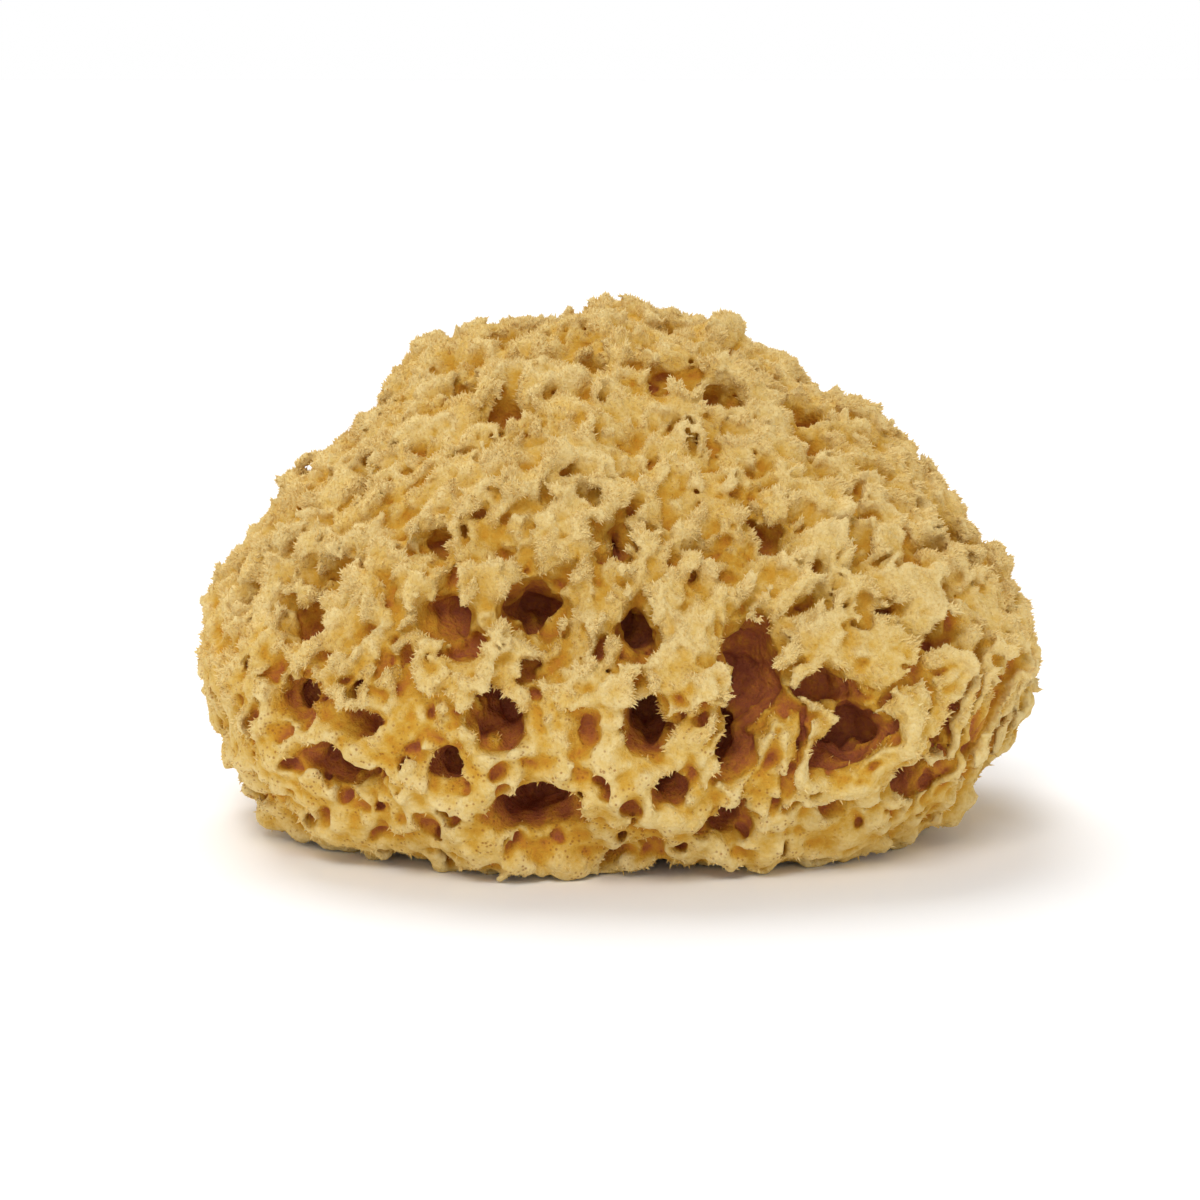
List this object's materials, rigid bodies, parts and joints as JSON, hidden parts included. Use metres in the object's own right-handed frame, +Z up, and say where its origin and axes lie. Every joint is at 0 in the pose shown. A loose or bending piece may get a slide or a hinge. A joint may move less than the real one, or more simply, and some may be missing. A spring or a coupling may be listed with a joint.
{
  "type": "sea sponge",
  "caption": "Dry natural wool sponge: a low tufted dome, open all over with canals, cut off flat underneath so that it stands.",
  "frame": {"origin": "middle of the bounding box, on the flat cut that the sponge stands on", "axes": "+Z up out of the cut to the crown, +X along the longest way across, -Y towards the side with the widest canal mouths"},
  "size_m": [0.14, 0.114, 0.086],
  "materials": {
    "sponge": "dry fibrous matte"
  },
  "bodies": {
    "root": {"sponge": "sponge"}
  },
  "joints": []
}
